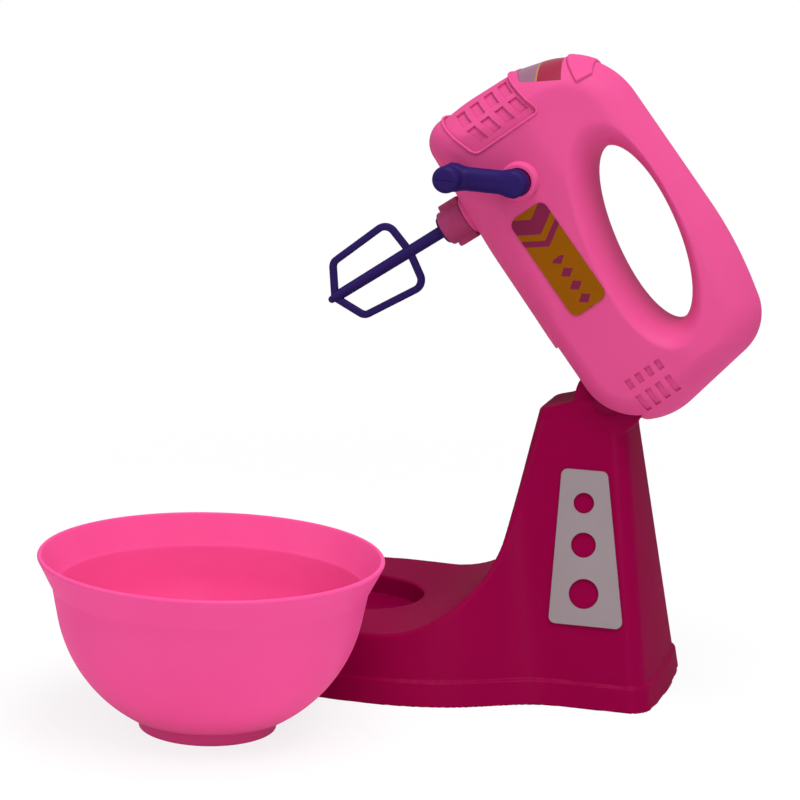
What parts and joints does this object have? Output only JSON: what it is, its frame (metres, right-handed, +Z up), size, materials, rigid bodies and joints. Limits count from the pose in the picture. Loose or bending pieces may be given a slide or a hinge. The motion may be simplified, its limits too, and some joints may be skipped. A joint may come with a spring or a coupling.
{
  "type": "toy stand mixer",
  "caption": "Pretend-play stand mixer: a hand-cranked mixer head tipped back on a tapering stand with a round seat, one looped beater and a loose bowl.",
  "frame": {"origin": "on the floor under the middle of the stand", "axes": "+Z up, the nose and bowl seat towards -X, the crank on the -Y side"},
  "size_m": [0.2867, 0.283, 0.2906],
  "materials": {
    "stand_magenta": "moulded dark magenta plastic, glossy",
    "mixer_pink": "moulded pink plastic, glossy",
    "bowl_pink": "thin moulded hot-pink plastic, satin",
    "violet_plastic": "moulded dark violet plastic, glossy",
    "panel_pale": "moulded pale grey plastic, satin",
    "label_film": "printed film, ochre ground",
    "bearing_natural": "undyed moulded plastic",
    "screw_steel": "plated steel"
  },
  "bodies": {
    "stand": {"stand_shell": "stand_magenta", "base_plate": "stand_magenta", "base_screws": "screw_steel", "side_panel_near": "panel_pale", "side_panel_far": "panel_pale", "hinge_bush": "bearing_natural"},
    "head": {"shell_left": "mixer_pink", "shell_right": "mixer_pink", "housing_screws": "screw_steel", "hinge_pin": "screw_steel", "hinge_washers": "bearing_natural", "crank_bush": "bearing_natural", "spindle_bush": "bearing_natural", "front_label": "label_film", "side_label_left": "label_film", "side_label_right": "label_film", "button_spring": "screw_steel"},
    "crank": {"crank_arm": "violet_plastic", "knob_pin": "screw_steel", "crown_gear": "bearing_natural", "gear_screw": "screw_steel"},
    "knob": {"crank_knob": "violet_plastic"},
    "drive": {"drive_pinion": "bearing_natural", "drive_socket": "mixer_pink", "spindle_clip": "screw_steel"},
    "beater": {"beater": "violet_plastic"},
    "button": {"speed_button": "mixer_pink"},
    "bowl": {"bowl": "bowl_pink"}
  },
  "joints": [
    {"name": "head_tilt", "type": "hinge", "parent": "stand", "child": "head", "pos_m": [0.0735, 0, 0.1377], "axis": [0, 1, 0], "range_deg": [-51.5, 0]},
    {"name": "crank_turn", "type": "hinge", "parent": "head", "child": "crank", "pos_m": [0.02897, -0.035, 0.23465], "axis": [0, 1, 0], "continuous": true},
    {"name": "knob_spin", "type": "hinge", "parent": "crank", "child": "knob", "pos_m": [0.00048, -0.045, 0.2356], "axis": [0, 1, 0], "continuous": true},
    {"name": "drive_spin", "type": "hinge", "parent": "head", "child": "drive", "pos_m": [0.02897, 0, 0.23465], "axis": [-0.8221, 0, -0.5693], "continuous": true},
    {"name": "beater_pull", "type": "slide", "parent": "drive", "child": "beater", "axis": [-0.8221, 0, -0.5693], "range_m": [0, 0.016]},
    {"name": "button_press", "type": "slide", "parent": "head", "child": "button", "axis": [0.3173, 0, -0.9483], "range_m": [0, 0.002], "stiffness_N_per_m": 300, "springref_m": -0.001, "deforming": ["button_spring"]},
    {"name": "bowl_lift", "type": "slide", "parent": "stand", "child": "bowl", "axis": [0, 0, 1], "range_m": [0, 0.15]}
  ],
  "couplings": [
    {"joint": "drive_spin", "follows": "crank_turn", "ratio": 3}
  ]
}
